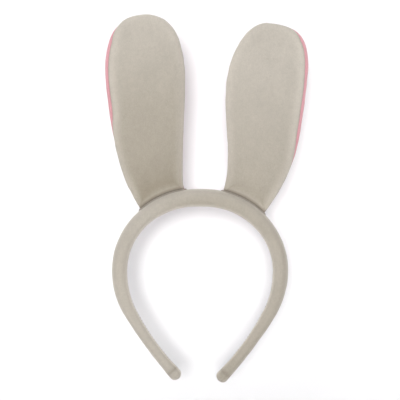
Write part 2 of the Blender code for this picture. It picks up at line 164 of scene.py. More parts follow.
# A broad soft lamp above and to one side, and a distant window straight behind the lens.
def makeLamps():
    for name, lamp in lamps.items():
        data = bpy.data.lights.new(name, lamp["kind"])
        if lamp["kind"] == "AREA":
            data.shape = "DISK"
            data.size = lamp["size"]
        else:
            data.angle = lamp["size"]
        data.energy = lamp["power"]
        data.color = lamp["colour"]
        item = bpy.data.objects.new(name, data)
        item.location = lamp["place"]
        item.rotation_euler = (-item.location).to_track_quat("-Z", "Y").to_euler()
        scene.collection.objects.link(item)


scene.view_settings.view_transform = "Standard"
makeCamera()
makeRoom()
makeSky()
makeLamps()
print("room ready")


# materials

# Empty shader node group with its sockets; returns the tree and its two end nodes.
def newGroup(name, inputs, outputs):
    tree = bpy.data.node_groups.new(name, "ShaderNodeTree")
    for label, kind, value in inputs:
        socket = tree.interface.new_socket(label, in_out="INPUT", socket_type=kind)
        socket.default_value = value
    for label, kind in outputs:
        tree.interface.new_socket(label, in_out="OUTPUT", socket_type=kind)
    return tree, tree.nodes.new("NodeGroupInput"), tree.nodes.new("NodeGroupOutput")


def mathNode(tree, operation, first, second=None, third=None, clamp=False):
    node = tree.nodes.new("ShaderNodeMath")
    node.operation = operation
    node.use_clamp = clamp
    for socket, value in zip(node.inputs, (first, second, third)):
        if isinstance(value, bpy.types.NodeSocket):
            tree.links.new(value, socket)
        elif value is not None:
            socket.default_value = value
    return node.outputs["Value"]


def mixColour(tree, fac, first, second, blend="MIX"):
    node = tree.nodes.new("ShaderNodeMix")
    node.data_type = "RGBA"
    node.blend_type = blend
    for socket, value in ((node.inputs[0], fac), (node.inputs[6], first), (node.inputs[7], second)):
        if isinstance(value, bpy.types.NodeSocket):
            tree.links.new(value, socket)
        else:
            socket.default_value = value
    return node.outputs[2]


def noiseNode(tree, vector, scale, detail=2.0, roughness=0.5, distortion=0.0):
    node = tree.nodes.new("ShaderNodeTexNoise")
    tree.links.new(vector, node.inputs["Vector"])
    if isinstance(scale, bpy.types.NodeSocket):
        tree.links.new(scale, node.inputs["Scale"])
    else:
        node.inputs["Scale"].default_value = scale
    node.inputs["Detail"].default_value = detail
    node.inputs["Roughness"].default_value = roughness
    node.inputs["Distortion"].default_value = distortion
    return node.outputs["Fac"]


# (value - 0.5) times amount, plus 1: a soft brightness factor.
def centred(tree, value, amount):
    return mathNode(tree, "MULTIPLY_ADD", mathNode(tree, "SUBTRACT", value, 0.5), amount, 1.0)


# Colour times one brightness factor.
def dimmed(tree, colour, factor):
    grey = tree.nodes.new("ShaderNodeCombineColor")
    for socket in grey.inputs[:3]:
        tree.links.new(factor, socket)
    return mixColour(tree, 1.0, colour, grey.outputs["Color"], "MULTIPLY")


# Normal of a surface whose height changes by a distance in metres.
def bumped(tree, height, strength, distance):
    bump = tree.nodes.new("ShaderNodeBump")
    bump.inputs["Strength"].default_value = strength
    bump.inputs["Distance"].default_value = distance
    tree.links.new(height, bump.inputs["Height"])
    return bump.outputs["Normal"]


# Coordinates on the piece itself, in metres.
def objectPlace(tree, stretch=(1.0, 1.0, 1.0)):
    place = tree.nodes.new("ShaderNodeTexCoord").outputs["Object"]
    mapping = tree.nodes.new("ShaderNodeMapping")
    mapping.inputs["Scale"].default_value = stretch
    tree.links.new(place, mapping.inputs["Vector"])
    return mapping.outputs["Vector"]


# The tone is the tint of the painted shade, and the gain is how much the painted highlight lightens.
pileLook = {
    "stretch": (1.0, 1.0, 0.72), "paintedShadingTone": (0.64, 0.61, 0.54, 1.0), "paintedHighlightGain": 0.12,
    "bumpStrength": 0.55, "bumpHeight": 0.00032, "patchScale": 0.45, "tuftScale": 0.8,
    "smallPatch": 3.4, "smallDepth": 0.55, "clump": 0.34, "clumpDepth": 0.5, "clumpHeight": 0.7,
    "roughFrom": 0.80, "roughGain": 0.16,
}

# Short cut pile: brushed patches and fine tufts, with a painted highlight on rims, painted shade towards a
# darker, yellower tone, and painted crease shade in creases and seams.
def makeVelourGroup():
    tree, given, result = newGroup("velourPile", (
        ("Colour", "NodeSocketColor", (0.5, 0.45, 0.4, 1.0)),
        ("Crease Shade Colour", "NodeSocketColor", (0.3, 0.25, 0.2, 1.0)),
        ("Patch Size", "NodeSocketFloat", 0.014),
        ("Patch Depth", "NodeSocketFloat", 0.16),
        ("Tuft Size", "NodeSocketFloat", 0.0007),
        ("Tuft Depth", "NodeSocketFloat", 0.30),
        ("Crease Shade", "NodeSocketFloat", 0.0),
        ("Painted Highlight", "NodeSocketFloat", 0.0),
        ("Painted Shade", "NodeSocketFloat", 0.0),
    ), (("Colour", "NodeSocketColor"), ("Roughness", "NodeSocketFloat"), ("Normal", "NodeSocketVector")))
    place = objectPlace(tree, pileLook["stretch"])
    patchScale = mathNode(tree, "DIVIDE", pileLook["patchScale"], given.outputs["Patch Size"])
    smallScale = mathNode(tree, "MULTIPLY", patchScale, pileLook["smallPatch"])
    tuftScale = mathNode(tree, "DIVIDE", pileLook["tuftScale"], given.outputs["Tuft Size"])
    clumpScale = mathNode(tree, "MULTIPLY", tuftScale, pileLook["clump"])
    patches = noiseNode(tree, place, patchScale, 2.5, 0.55, 0.7)
    smallPatches = noiseNode(tree, place, smallScale, 2.0, 0.5, 0.4)
    tufts = noiseNode(tree, place, tuftScale, 3.0, 0.65)
    clumps = noiseNode(tree, place, clumpScale, 2.0, 0.6)
    patchFactor = centred(tree, patches, given.outputs["Patch Depth"])
    smallDepth = mathNode(tree, "MULTIPLY", given.outputs["Patch Depth"], pileLook["smallDepth"])
    smallFactor = centred(tree, smallPatches, smallDepth)
    tuftFactor = centred(tree, tufts, given.outputs["Tuft Depth"])
    clumpDepth = mathNode(tree, "MULTIPLY", given.outputs["Tuft Depth"], pileLook["clumpDepth"])
    clumpFactor = centred(tree, clumps, clumpDepth)
    factor = mathNode(tree, "MULTIPLY", patchFactor, smallFactor)
    factor = mathNode(tree, "MULTIPLY", factor, mathNode(tree, "MULTIPLY", tuftFactor, clumpFactor))
    # Painted highlight lightens the pile, painted shade tints it darker and yellower, and painted crease
    # shade darkens it further.
    paintedHighlightFactor = mathNode(tree, "MULTIPLY_ADD", given.outputs["Painted Highlight"], pileLook["paintedHighlightGain"], 1.0)
    factor = mathNode(tree, "MULTIPLY", factor, paintedHighlightFactor)
    paintedShading = mixColour(tree, 1.0, given.outputs["Colour"], pileLook["paintedShadingTone"], "MULTIPLY")
    paintedShading = mixColour(tree, given.outputs["Painted Shade"], given.outputs["Colour"], paintedShading)
    creaseShaded = mixColour(tree, given.outputs["Crease Shade"], paintedShading, given.outputs["Crease Shade Colour"])
    tree.links.new(dimmed(tree, creaseShaded, factor), result.inputs["Colour"])
    rough = mathNode(tree, "MULTIPLY_ADD", tufts, pileLook["roughGain"], pileLook["roughFrom"], clamp=True)
    tree.links.new(rough, result.inputs["Roughness"])
    height = mathNode(tree, "MULTIPLY_ADD", clumps, pileLook["clumpHeight"], tufts)
    normal = bumped(tree, height, pileLook["bumpStrength"], pileLook["bumpHeight"])
    tree.links.new(normal, result.inputs["Normal"])
    return tree


scuffLook = {
    "toneScale": 120.0, "toneDepth": 0.14, "stretch": (1.0, 0.12, 1.0), "scratchTone": 0.10,
    "bumpStrength": 0.25, "bumpHeight": 0.0001,
}

# Fine scratches, dust and tone changes of a hard surface.
def makeScuffGroup():
    tree, given, result = newGroup("hardScuff", (
        ("Colour", "NodeSocketColor", (0.7, 0.7, 0.7, 1.0)),
        ("Roughness", "NodeSocketFloat", 0.4),
        ("Scratch Scale", "NodeSocketFloat", 900.0),
        ("Scratch Depth", "NodeSocketFloat", 0.25),
    ), (("Colour", "NodeSocketColor"), ("Roughness", "NodeSocketFloat"), ("Normal", "NodeSocketVector")))
    tone = noiseNode(tree, objectPlace(tree), scuffLook["toneScale"], 3.0)
    lengthwise = objectPlace(tree, scuffLook["stretch"])
    scratches = noiseNode(tree, lengthwise, given.outputs["Scratch Scale"], 2.0, 0.7)
    toneFactor = centred(tree, tone, scuffLook["toneDepth"])
    dull = mathNode(tree, "MULTIPLY", toneFactor, centred(tree, scratches, scuffLook["scratchTone"]))
    tree.links.new(dimmed(tree, given.outputs["Colour"], dull), result.inputs["Colour"])
    scratchDepth = given.outputs["Scratch Depth"]
    rough = mathNode(tree, "MULTIPLY_ADD", scratches, scratchDepth, given.outputs["Roughness"])
    tree.links.new(rough, result.inputs["Roughness"])
    normal = bumped(tree, scratches, scuffLook["bumpStrength"], scuffLook["bumpHeight"])
    tree.links.new(normal, result.inputs["Normal"])
    return tree


fibreLook = {
    "stretch": (1.0, 1.0, 0.35), "scale": 0.8, "clump": 0.12, "clumpDepth": 0.18,
    "roughFrom": 0.7, "roughGain": 0.2, "bumpStrength": 0.6, "bumpHeight": 0.0002,
}

# Loose fibres: thread plies and wadding.
def makeFibreGroup():
    tree, given, result = newGroup("looseFibre", (
        ("Colour", "NodeSocketColor", (0.7, 0.7, 0.7, 1.0)),
        ("Fibre Size", "NodeSocketFloat", 0.0003),
        ("Depth", "NodeSocketFloat", 0.4),
    ), (("Colour", "NodeSocketColor"), ("Roughness", "NodeSocketFloat"), ("Normal", "NodeSocketVector")))
    scale = mathNode(tree, "DIVIDE", fibreLook["scale"], given.outputs["Fibre Size"])
    clumpScale = mathNode(tree, "MULTIPLY", scale, fibreLook["clump"])
    fibres = noiseNode(tree, objectPlace(tree, fibreLook["stretch"]), scale, 4.0, 0.7, 1.6)
    tufts = noiseNode(tree, objectPlace(tree), clumpScale, 3.0)
    fibreFactor = centred(tree, fibres, given.outputs["Depth"])
    factor = mathNode(tree, "MULTIPLY", fibreFactor, centred(tree, tufts, fibreLook["clumpDepth"]))
    tree.links.new(dimmed(tree, given.outputs["Colour"], factor), result.inputs["Colour"])
    rough = mathNode(tree, "MULTIPLY_ADD", fibres, fibreLook["roughGain"], fibreLook["roughFrom"])
    tree.links.new(rough, result.inputs["Roughness"])
    normal = bumped(tree, fibres, fibreLook["bumpStrength"], fibreLook["bumpHeight"])
    tree.links.new(normal, result.inputs["Normal"])
    return tree


# Principled material fed by one node group; attributes are (input, mesh attribute) pairs.
def groupMaterial(name, group, values, shaderValues, attributes=()):
    material = bpy.data.materials.new(name)
    material.use_nodes = True
    tree = material.node_tree
    shader = tree.nodes["Principled BSDF"]
    node = tree.nodes.new("ShaderNodeGroup")
    node.node_tree = group
    for label, value in values.items():
        node.inputs[label].default_value = value
    for label, attribute in attributes:
        source = tree.nodes.new("ShaderNodeAttribute")
        source.attribute_name = attribute
        tree.links.new(source.outputs["Fac"], node.inputs[label])
    tree.links.new(node.outputs["Colour"], shader.inputs["Base Color"])
    tree.links.new(node.outputs["Roughness"], shader.inputs["Roughness"])
    tree.links.new(node.outputs["Normal"], shader.inputs["Normal"])
    for label, value in shaderValues.items():
        shader.inputs[label].default_value = value
    return material


velour = {
    # The second colour of each velour is its painted crease shade.
    "grey": {"Colour": (0.508, 0.468, 0.408, 1.0), "Crease Shade Colour": (0.120, 0.096, 0.074, 1.0)},
    "pink": {"Colour": (0.710, 0.365, 0.400, 1.0), "Crease Shade Colour": (0.440, 0.150, 0.180, 1.0)},
    "sheen": {"Sheen Weight": 0.45, "Sheen Roughness": 0.50, "Specular IOR Level": 0.25},
    "greySheen": (1.0, 0.97, 0.93, 1.0), "pinkSheen": (1.0, 0.82, 0.84, 1.0),
}

def makeMaterials():
    pile, scuff, fibre = makeVelourGroup(), makeScuffGroup(), makeFibreGroup()
    # Mesh attributes with the painted crease shade, the painted highlight and the painted shade.
    marks = (("Crease Shade", "creaseShade"), ("Painted Highlight", "paintedHighlight"), ("Painted Shade", "worn"))
    greySheen = {**velour["sheen"], "Sheen Tint": velour["greySheen"]}
    pinkSheen = {**velour["sheen"], "Sheen Tint": velour["pinkSheen"]}
    return {
        "grey_velour": groupMaterial("greyVelour", pile, velour["grey"], greySheen, marks),
        "pink_velour": groupMaterial("pinkVelour", pile, velour["pink"], pinkSheen, marks),
        "cream_foam": groupMaterial("creamFoam", pile, {
            "Colour": (0.80, 0.74, 0.56, 1.0), "Crease Shade Colour": (0.60, 0.50, 0.32, 1.0), "Patch Size": 0.020,
            "Patch Depth": 0.10, "Tuft Size": 0.0011, "Tuft Depth": 0.55,
        }, {"Specular IOR Level": 0.2}),
        "white_wadding": groupMaterial("whiteWadding", fibre, {
            "Colour": (0.85, 0.85, 0.83, 1.0), "Fibre Size": 0.0006, "Depth": 0.30,
        }, {"Sheen Weight": 0.2}),
        "grey_thread": groupMaterial("greyThread", fibre, {
            "Colour": (0.350, 0.310, 0.262, 1.0), "Fibre Size": 0.00028, "Depth": 0.55,
        }, {"Sheen Weight": 0.1}),
        "white_plastic": groupMaterial("whitePlastic", scuff, {
            "Colour": (0.75, 0.74, 0.70, 1.0), "Roughness": 0.34, "Scratch Scale": 700.0,
        }, {}),
        "steel_wire": groupMaterial("steelWire", scuff, {
            "Colour": (0.56, 0.56, 0.57, 1.0), "Roughness": 0.28, "Scratch Scale": 2400.0,
        }, {"Metallic": 1.0}),
    }


materials = makeMaterials()
print("materials ready")


# pieces from points

# Solid piece with faces pointing out and the material its slot names.
def closedPiece(name, points, faces, slot, marks=None, sharp=None):
    mesh = bpy.data.meshes.new(name)
    mesh.from_pydata([tuple(point) for point in points], [], faces)
    for attribute, values in (marks or {}).items():
        mesh.attributes.new(attribute, "FLOAT", "POINT").data.foreach_set("value", values)
    bm = bmesh.new()
    bm.from_mesh(mesh)
    bmesh.ops.recalc_face_normals(bm, faces=bm.faces)
    bm.to_mesh(mesh)
    bm.free()
    mesh.shade_smooth()
    if sharp:
        mesh.set_sharp_from_angle(angle=radians(sharp))
    mesh.materials.append(materials[slot])
    piece = bpy.data.objects.new(name, mesh)
    scene.collection.objects.link(piece)
    return piece


# Quads between two closed loops of vertex numbers.
def ringFaces(first, second):
    count = len(first)
    return [(first[i], first[(i + 1) % count], second[(i + 1) % count], second[i]) for i in range(count)]


def loopNumbers(start, count):
    return list(range(start, start + count))


domeStops = ((0.4, 0.8), (0.8, 0.35))        # distance past the end and size, as shares of the radius

# Rings round a path, with small domed ends, for threads and wires.
def tubePoints(path, radius, count):
    path = [Vector(point) for point in path]
    first, last = (path[1] - path[0]).normalized(), (path[-1] - path[-2]).normalized()
    stops = [(path[0] - first * radius * far, size) for far, size in reversed(domeStops)]
    stops += [(point, 1.0) for point in path]
    stops += [(path[-1] + last * radius * far, size) for far, size in domeStops]
    rings = []
    normal = None
    for index, (point, size) in enumerate(stops):
        before = stops[max(0, index - 1)][0]
        after = stops[min(len(stops) - 1, index + 1)][0]
        tangent = (after - before).normalized()
        if normal is None:
            normal = depth if abs(tangent.y) < 0.9 else Vector((0.0, 0.0, 1.0))
        normal = (normal - tangent * normal.dot(tangent)).normalized()
        other = tangent.cross(normal)
        turns = [2 * pi * i / count for i in range(count)]
        rings.append([point + (normal * cos(turn) + other * sin(turn)) * radius * size for turn in turns])
    return rings


# Append a closed tube to a list of points and faces.
def addTube(points, faces, path, radius, count):
    rings = tubePoints(path, radius, count)
    start = len(points)
    for ring in rings:
        points.extend(ring)
    loops = [loopNumbers(start + count * i, count) for i in range(len(rings))]
    for lower, upper in zip(loops, loops[1:]):
        faces.extend(ringFaces(lower, upper))
    faces.append(tuple(loops[0]))
    faces.append(tuple(loops[-1]))


# sizes of the ears, which the band needs too

# Each ear's last list is painted shade by height, darker towards the base.
ears = {
    "left": {
        "seatLength": 0.0279, "corners": (0.0114, 0.0468), "lean": radians(7.8), "height": 0.1461,
        "topTilt": 0.0,
        "inner": {"width": 0.0314, "widest": 0.1009, "flare": radians(-19.8),
                  "handles": (0.0101, 0.0180, 0.0180, 0.0306)},
        "outer": {"width": 0.0329, "widest": 0.0885, "flare": radians(23.6),
                  "handles": (0.0401, 0.0300, 0.0338, 0.0214)},
        "seed": 11.0, "wrapSpan": (0.30, 0.50, 0.86, 0.985), "worn": (1.0, 0.68, 0.54, 0.24, 0.0),
    },
    "right": {
        "seatLength": 0.0335, "corners": (0.0170, 0.0512), "lean": radians(7.7), "height": 0.1421,
        "topTilt": radians(4.0),
        "inner": {"width": 0.0266, "widest": 0.0930, "flare": radians(-13.2),
                  "handles": (0.0250, 0.0330, 0.0262, 0.0150)},
        "outer": {"width": 0.0374, "widest": 0.0895, "flare": radians(29.0),
                  "handles": (0.0428, 0.0410, 0.0428, 0.0294)},
        "seed": 23.0, "wrapSpan": (0.12, 0.42, 0.93, 1.03), "worn": (0.62, 0.42, 0.22, 0.06, 0.0),
    },
}
earCut = {
    "rimCrowding": 1.7, "panelFill": 0.6,
    "lowerSteps": 34, "upperSteps": 36, "seatSteps": 20, "faceSteps": 11, "rimSteps": 8,
    "halfThickness": 0.0040, "seatHalfThickness": 0.0031, "thicken": 0.024,
    "edgeRound": 0.0060, "seatRound": 0.0013, "roundRise": 0.020,
    "seamTuck": radians(16.0), "wrap": radians(50.0), "seatLift": 0.00015, "settle": 0.008, "tuckRise": 0.06,
    "fabric": 0.0012, "panelShift": 0.00005, "spineLow": 0.16, "spineHigh": 0.80,
    "bendStart": 0.0020, "bendReach": 0.0260,
}


# the band

band = {
    "crownFlat": 0.0060, "tailLengths": {"left": 0.0601, "right": 0.0628},
    "arcs": ((0.0632, radians(45.0)), (0.0572, radians(45.0)), (0.0675, radians(29.8)), (0.2620, pi)),
    "thickness": (0.0140, 0.0122, 0.0088), "depth": (0.0220, 0.0170, 0.0112),
    "tipSwell": 0.0008, "tipSwellLength": 0.0140, "outerRoundness": 2.2, "innerRoundness": 3.0,
    "fabric": 0.0012, "foamInset": 0.0016, "innerPad": 0.0016, "coreThickness": 0.0018,
    "coreWidths": (0.0120, 0.0056), "coreEndSpace": 0.0040, "coreEdge": 0.28, "layerGap": 0.0003,
    # Painted shade along each half, and how much it shifts between the outer and inner faces.
    "worn": {"left": (0.54, 0.20, 0.28, 0.16, 0.32), "right": (0.54, 0.48, 0.38, 0.46, 0.60)},
    "wornOuter": {"left": (-0.9, -0.6, 0.1, 0.4, 0.0), "right": (-0.9, -0.2, 0.4, 0.4, 0.1)},
    "ringSpacing": 0.0016, "sides": 56, "coreSides": 24, "tipSteps": 9, "bendReach": 0.0560,
    "coverFill": 0.8, "shortRings": 3,
}
sides = {"left": -1.0, "right": 1.0}
sideLength = band["crownFlat"] / 2 + sum(radius * sweep for radius, sweep in band["arcs"][:2])
tailStart = sideLength + band["arcs"][2][0] * band["arcs"][2][1]


# Point and turned angle at a length along the right half of the band.
def centreline(length):
    x = min(length, band["crownFlat"] / 2)
    z = band["thickness"][0] / 2
    angle = 0.0
    length -= x
    for radius, sweep in band["arcs"]:
        turn = min(sweep, length / radius)
        x += radius * (sin(angle + turn) - sin(angle))
        z += radius * (cos(angle + turn) - cos(angle))
        angle += turn
        length = max(0.0, length - turn * radius)
    return x, z, angle


# Centre of the band and the outward direction; a negative length mirrors.
def bandFrame(length, side):
    sign = side if length >= 0.0 else -side
    x, z, angle = centreline(abs(length))
    return Vector((sign * x, 0.0, z)), Vector((sign * sin(angle), 0.0, cos(angle)))


def legEnd(name):
    return tailStart + band["tailLengths"][name]


# Half thickness and half depth at a length.
def bandSize(length, end):
    length = abs(length)
    tail = tailStart + min(band["tailLengths"].values()) / 2
    swell = band["tipSwell"] * smooth(length, end - band["tipSwellLength"], end)
    sizes = []
    for crown, side, tip in (band["thickness"], band["depth"]):
        if length < sideLength:
            size = crown + (side - crown) * smooth(length, band["crownFlat"] / 2, sideLength)
        else:
            size = side + (tip - side) * smooth(length, sideLength, tail)
        sizes.append((size + swell) / 2)
    return sizes


# (outward, depth) round the section: rounded outside, flatter against the head.
def sectionPoint(turn, halfThickness, halfDepth):
    power = band["outerRoundness"] if sin(turn) > 0.0 else band["innerRoundness"]
    out = abs(sin(turn)) ** (2 / power) * (1 if sin(turn) > 0.0 else -1)
    across = abs(cos(turn)) ** (2 / power) * (1 if cos(turn) > 0.0 else -1)
    return halfThickness * out, halfDepth * across


def sectionNormal(out, across, halfThickness, halfDepth):
    power = band["outerRoundness"] if out > 0.0 else band["innerRoundness"]
    first = abs(out / halfThickness) ** (power - 1) / halfThickness * (1 if out > 0.0 else -1)
    second = abs(across / halfDepth) ** (power - 1) / halfDepth * (1 if across > 0.0 else -1)
    size = sqrt(first * first + second * second) or 1.0
    return first / size, second / size


# Distance from the centreline to the inner or outer face at a depth.
def faceDistance(across, halfThickness, halfDepth, roundness):
    return halfThickness * (1 - min(1.0, abs(across) / halfDepth) ** roundness) ** (1 / roundness)


# The groove of the closing seam is darkened with painted shade.
closing = {
    "depthShare": 0.62, "pitch": 0.0052, "groove": 0.00045, "grooveWidth": 0.0010, "grooveShade": 0.75,
    "pucker": 0.00012, "puckerWidth": 0.0024, "endSpace": 0.0060,
}
# The neck under the thread and the gathered tip are darkened with painted shade.
gather = {
    "before": 0.0035, "neck": 0.00022, "neckWidth": 0.0014, "neckShade": 0.30, "folds": 11,
    "foldDepth": 0.00026, "foldReach": 0.0060, "tipShade": 0.5, "tipShadeFrom": 0.80,
    "waver": 1.3, "fade": 0.55, "domeFade": 0.6, "domeGain": 3.0,
}
padding = {
    "lumpSize": 0.026, "lumpDepth": 0.00030, "creaseSize": 0.0052, "creaseDepth": 0.00022,
    "creaseFrom": 0.004, "creaseTo": 0.030, "smallShare": 0.4, "innerFade": 0.004,
}
# The last value is painted shade along the pressed line.
seatPress = {"inset": 0.0005, "width": 0.0009, "depth": 0.0002, "creaseShade": 0.42}


# How far the velour stands off its plain section, and how much painted crease shade it gets there.
def bandRelief(name, length, turn, point, out, across, halfDepth, end, dome):
    relief = padding["lumpDepth"] * lumps(point, padding["lumpSize"], 2.0)
    relief += padding["smallShare"] * padding["lumpDepth"] * lumps(point, padding["lumpSize"] / 3, 5.0)
    creaseShade = 0.0
    inside = smooth(-out, 0.0, padding["innerFade"])
    wave = lumps((abs(length) / padding["creaseSize"] * 0.01, across * 0.25, sides[name]), 0.01, 8.0)
    onLeg = smooth(abs(length), padding["creaseFrom"], padding["creaseTo"])
    relief += padding["creaseDepth"] * wave * inside * onLeg
    seamGap = across - closing["depthShare"] * halfDepth
    if out < 0.0 and length < end - closing["endSpace"]:
        groove = exp(-(seamGap / closing["grooveWidth"]) ** 2)
        relief -= closing["groove"] * groove
        # painted shade in the seam groove
        creaseShade = max(creaseShade, closing["grooveShade"] * groove)
        pucker = sin(2 * pi * length / closing["pitch"])
        relief += closing["pucker"] * pucker * exp(-(seamGap / closing["puckerWidth"]) ** 2)
    # the gathered tip: a neck under the thread, and tucks that fan out from it
    middle = end - gather["before"]
    ring = exp(-((length - middle) / gather["neckWidth"]) ** 2)
    relief -= gather["neck"] * ring
    # painted shade in the neck
    creaseShade = max(creaseShade, gather["neckShade"] * ring)
    near = smooth(length, middle - gather["foldReach"], middle)
    near *= 1.0 - gather["fade"] * smooth(length, middle, end)
    tucks = sin(gather["folds"] * turn + gather["waver"] * sin(2 * turn))
    relief += gather["foldDepth"] * tucks * near * (1.0 - gather["domeFade"] * dome)
    if dome > 0.0:
        relief += gather["foldDepth"] * tucks * dome * (1 - dome) * gather["domeGain"]
        # painted shade on the gathered tip
        creaseShade = max(creaseShade, gather["tipShade"] * smooth(dome, gather["tipShadeFrom"], 1.0))
    return relief, creaseShade


# 1 on the line where an ear's base presses on the band, fading to 0 beside it; it sets the press and its
# painted shade.
def seatMark(name, length, out, across):
    if out < 0.0:
        return 0.0
    inner, outer = ears[name]["corners"]
    half = (outer - inner) / 2 - seatPress["inset"]
    bend = earCut["seatHalfThickness"]
    along = max(0.0, abs(length - (inner + outer) / 2) - half + bend)
    return exp(-((sqrt(along ** 2 + across ** 2) - bend) / seatPress["width"]) ** 2)


# Rings of the velour cover from the crown's middle to the closed tip.
def coverRings(name):
    side = sides[name]
    end = legEnd(name)
    reach, _ = bandSize(end, end)
    count = round(end / band["ringSpacing"])
    stops = [(end * i / count, 0.0) for i in range(count + 1)]
    stops += [(end, pi / 2 * i / band["tipSteps"]) for i in range(1, band["tipSteps"])]
    rings = []
    for length, bow in stops:
        halfThickness, halfDepth = bandSize(length, end)
        centre, outward = bandFrame(length + reach * sin(bow), side)
        size = cos(bow)
        ring = []
        for index in range(band["sides"]):
            turn = 2 * pi * (index + 0.5) / band["sides"]
            out, across = sectionPoint(turn, halfThickness, halfDepth)
            normalOut, normalAcross = sectionNormal(out, across, halfThickness, halfDepth)
            point = centre + outward * out * size + depth * across * size
            relief, creaseShade = bandRelief(name, length + reach * sin(bow), turn, point, out, across,
                                      halfDepth, end, sin(bow))
            seat = seatMark(name, length, out, across)
            relief -= seatPress["depth"] * seat
            # painted shade along the pressed line
            creaseShade = max(creaseShade, seatPress["creaseShade"] * seat)
            normal = outward * normalOut + depth * normalAcross
            ring.append((point + normal * relief * (1.0 if size > 0.5 else size * 2), normal, creaseShade))
        rings.append((length + reach * sin(bow), ring))
    return rings


# Closed pocket: open loops joined at the crown's middle, a point of each skin at the tip.
def sleeve(name, outer, inner, slot, marks):
    count = len(outer[0])
    points, faces = [], []
    starts = []
    for rings in (outer, inner):
        base = len(points)
        for ring in rings:
            points.extend(ring)
        loops = [loopNumbers(base + count * i, count) for i in range(len(rings))]
        for lower, upper in zip(loops, loops[1:]):
            faces.extend(ringFaces(lower, upper))
        tip = len(points)
        points.append(sum(rings[-1], Vector()) / count)
        faces.extend((loops[-1][i], loops[-1][(i + 1) % count], tip) for i in range(count))
        starts.append(loops[0])
    faces.extend(ringFaces(starts[0], starts[1]))
    values = {key: list(value) + [0.0] * (len(points) - len(value)) for key, value in marks.items()}
    return closedPiece(name, points, faces, slot, values, sharp=60)


# Bakes the piece's placement into its mesh.
def bendWithLeg(piece):
    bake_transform(piece)


# Shares of the painted shade between the outer and inner faces, and of the painted highlight.
paintedShading = {"outFrom": -0.5, "outTo": 0.9, "even": 0.15, "paintedHighlightFull": 0.8, "paintedHighlightInner": 2.2, "paintedHighlightOuter": 0.8}

# Velour cover of one half of the band, with painted shade that changes along the band and between its outer
# and inner faces, and a painted highlight where it turns sideways, strongest on the inner face.
def makeCover(name):
    rings = coverRings(name)
    end = legEnd(name)
    outer = [[point for point, _, _ in ring] for _, ring in rings]
    # painted crease shade of each point
    folds = [creaseShade for _, ring in rings for _, _, creaseShade in ring]
    paintedHighlights, worns = [], []
    for length, ring in rings:
        _, outward = bandFrame(length, sides[name])
        worn, outerPaintedShade = (level(band[key][name], length / end) for key in ("worn", "wornOuter"))
        for _, normal, _ in ring:
            outness = smooth(normal.dot(outward), paintedShading["outFrom"], paintedShading["outTo"])
            # painted shade, lighter or darker on the outer face
            worns.append(worn * (1.0 + outerPaintedShade * (outness - paintedShading["even"])))
            # painted highlight where the surface turns sideways, strongest on the inner face
            paintedHighlight = paintedShading["paintedHighlightInner"] + (paintedShading["paintedHighlightOuter"] - paintedShading["paintedHighlightInner"]) * outness
            paintedHighlights.append(smooth(1.0 - abs(normal.y), 0.0, paintedShading["paintedHighlightFull"]) * paintedHighlight)
    inner = [[point - normal * band["fabric"] for point, normal, _ in ring]
             for _, ring in rings[:-band["shortRings"]]]
    marks = {"creaseShade": folds, "paintedHighlight": paintedHighlights, "worn": worns}
    cover = sleeve(name + "_band_cover", outer, inner, "grey_velour", marks)
    cadNodes = [name + "_leg_cover"] + (["crown_cover"] if name == "left" else [])
    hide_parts(*cadNodes)
    bendWithLeg(cover)


# Flat strip with eased edges, as (out, across) pairs.
def coreSection(halfThickness, halfWidth, count):
    points = []
    for index in range(count):
        turn = 2 * pi * (index + 0.5) / count
        out = abs(sin(turn)) ** band["coreEdge"] * (1 if sin(turn) > 0.0 else -1)
        across = abs(cos(turn)) ** band["coreEdge"] * (1 if cos(turn) > 0.0 else -1)
        points.append((halfThickness * out, halfWidth * across))
    return points


# Rings of the springy core, or of the pocket round it when there is a margin.
def coreRings(name, last, margin):
    end = legEnd(name)
    steps = round(last / (2 * band["ringSpacing"]))
    wide, narrow = band["coreWidths"]
    overHead = band["fabric"] + band["innerPad"] + 2 * band["layerGap"] + band["coreThickness"] / 2
    rings = []
    for index in range(steps + 1):
        length = last * index / steps
        halfThickness, _ = bandSize(length, end)
        width = wide + (narrow - wide) * min(1.0, length / end)
        centre, outward = bandFrame(length, sides[name])
        section = coreSection(band["coreThickness"] / 2 + margin, width / 2 + margin, band["coreSides"])
        rings.append([centre + outward * (overHead - halfThickness + out) + depth * across
                      for out, across in section])
    return rings


# Springy strip; its half runs from the crown's middle to just short of the tip.
def makeCore(name):
    rings = coreRings(name, legEnd(name) - band["coreEndSpace"], 0.0)
    count = len(rings[0])
    points = [point for ring in rings for point in ring]
    loops = [loopNumbers(count * i, count) for i in range(len(rings))]
    faces = [face for lower, upper in zip(loops, loops[1:]) for face in ringFaces(lower, upper)]
    faces += [tuple(loops[0]), tuple(loops[-1])]
    core = closedPiece(name + "_band_core", points, faces, "white_plastic", sharp=40)
    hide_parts(name + "_leg_core", *(["crown_core"] if name == "left" else []))
    bendWithLeg(core)


foam = {"clearance": 0.0001, "tipSteps": 3, "tipTurn": radians(26.0), "fill": 0.9}

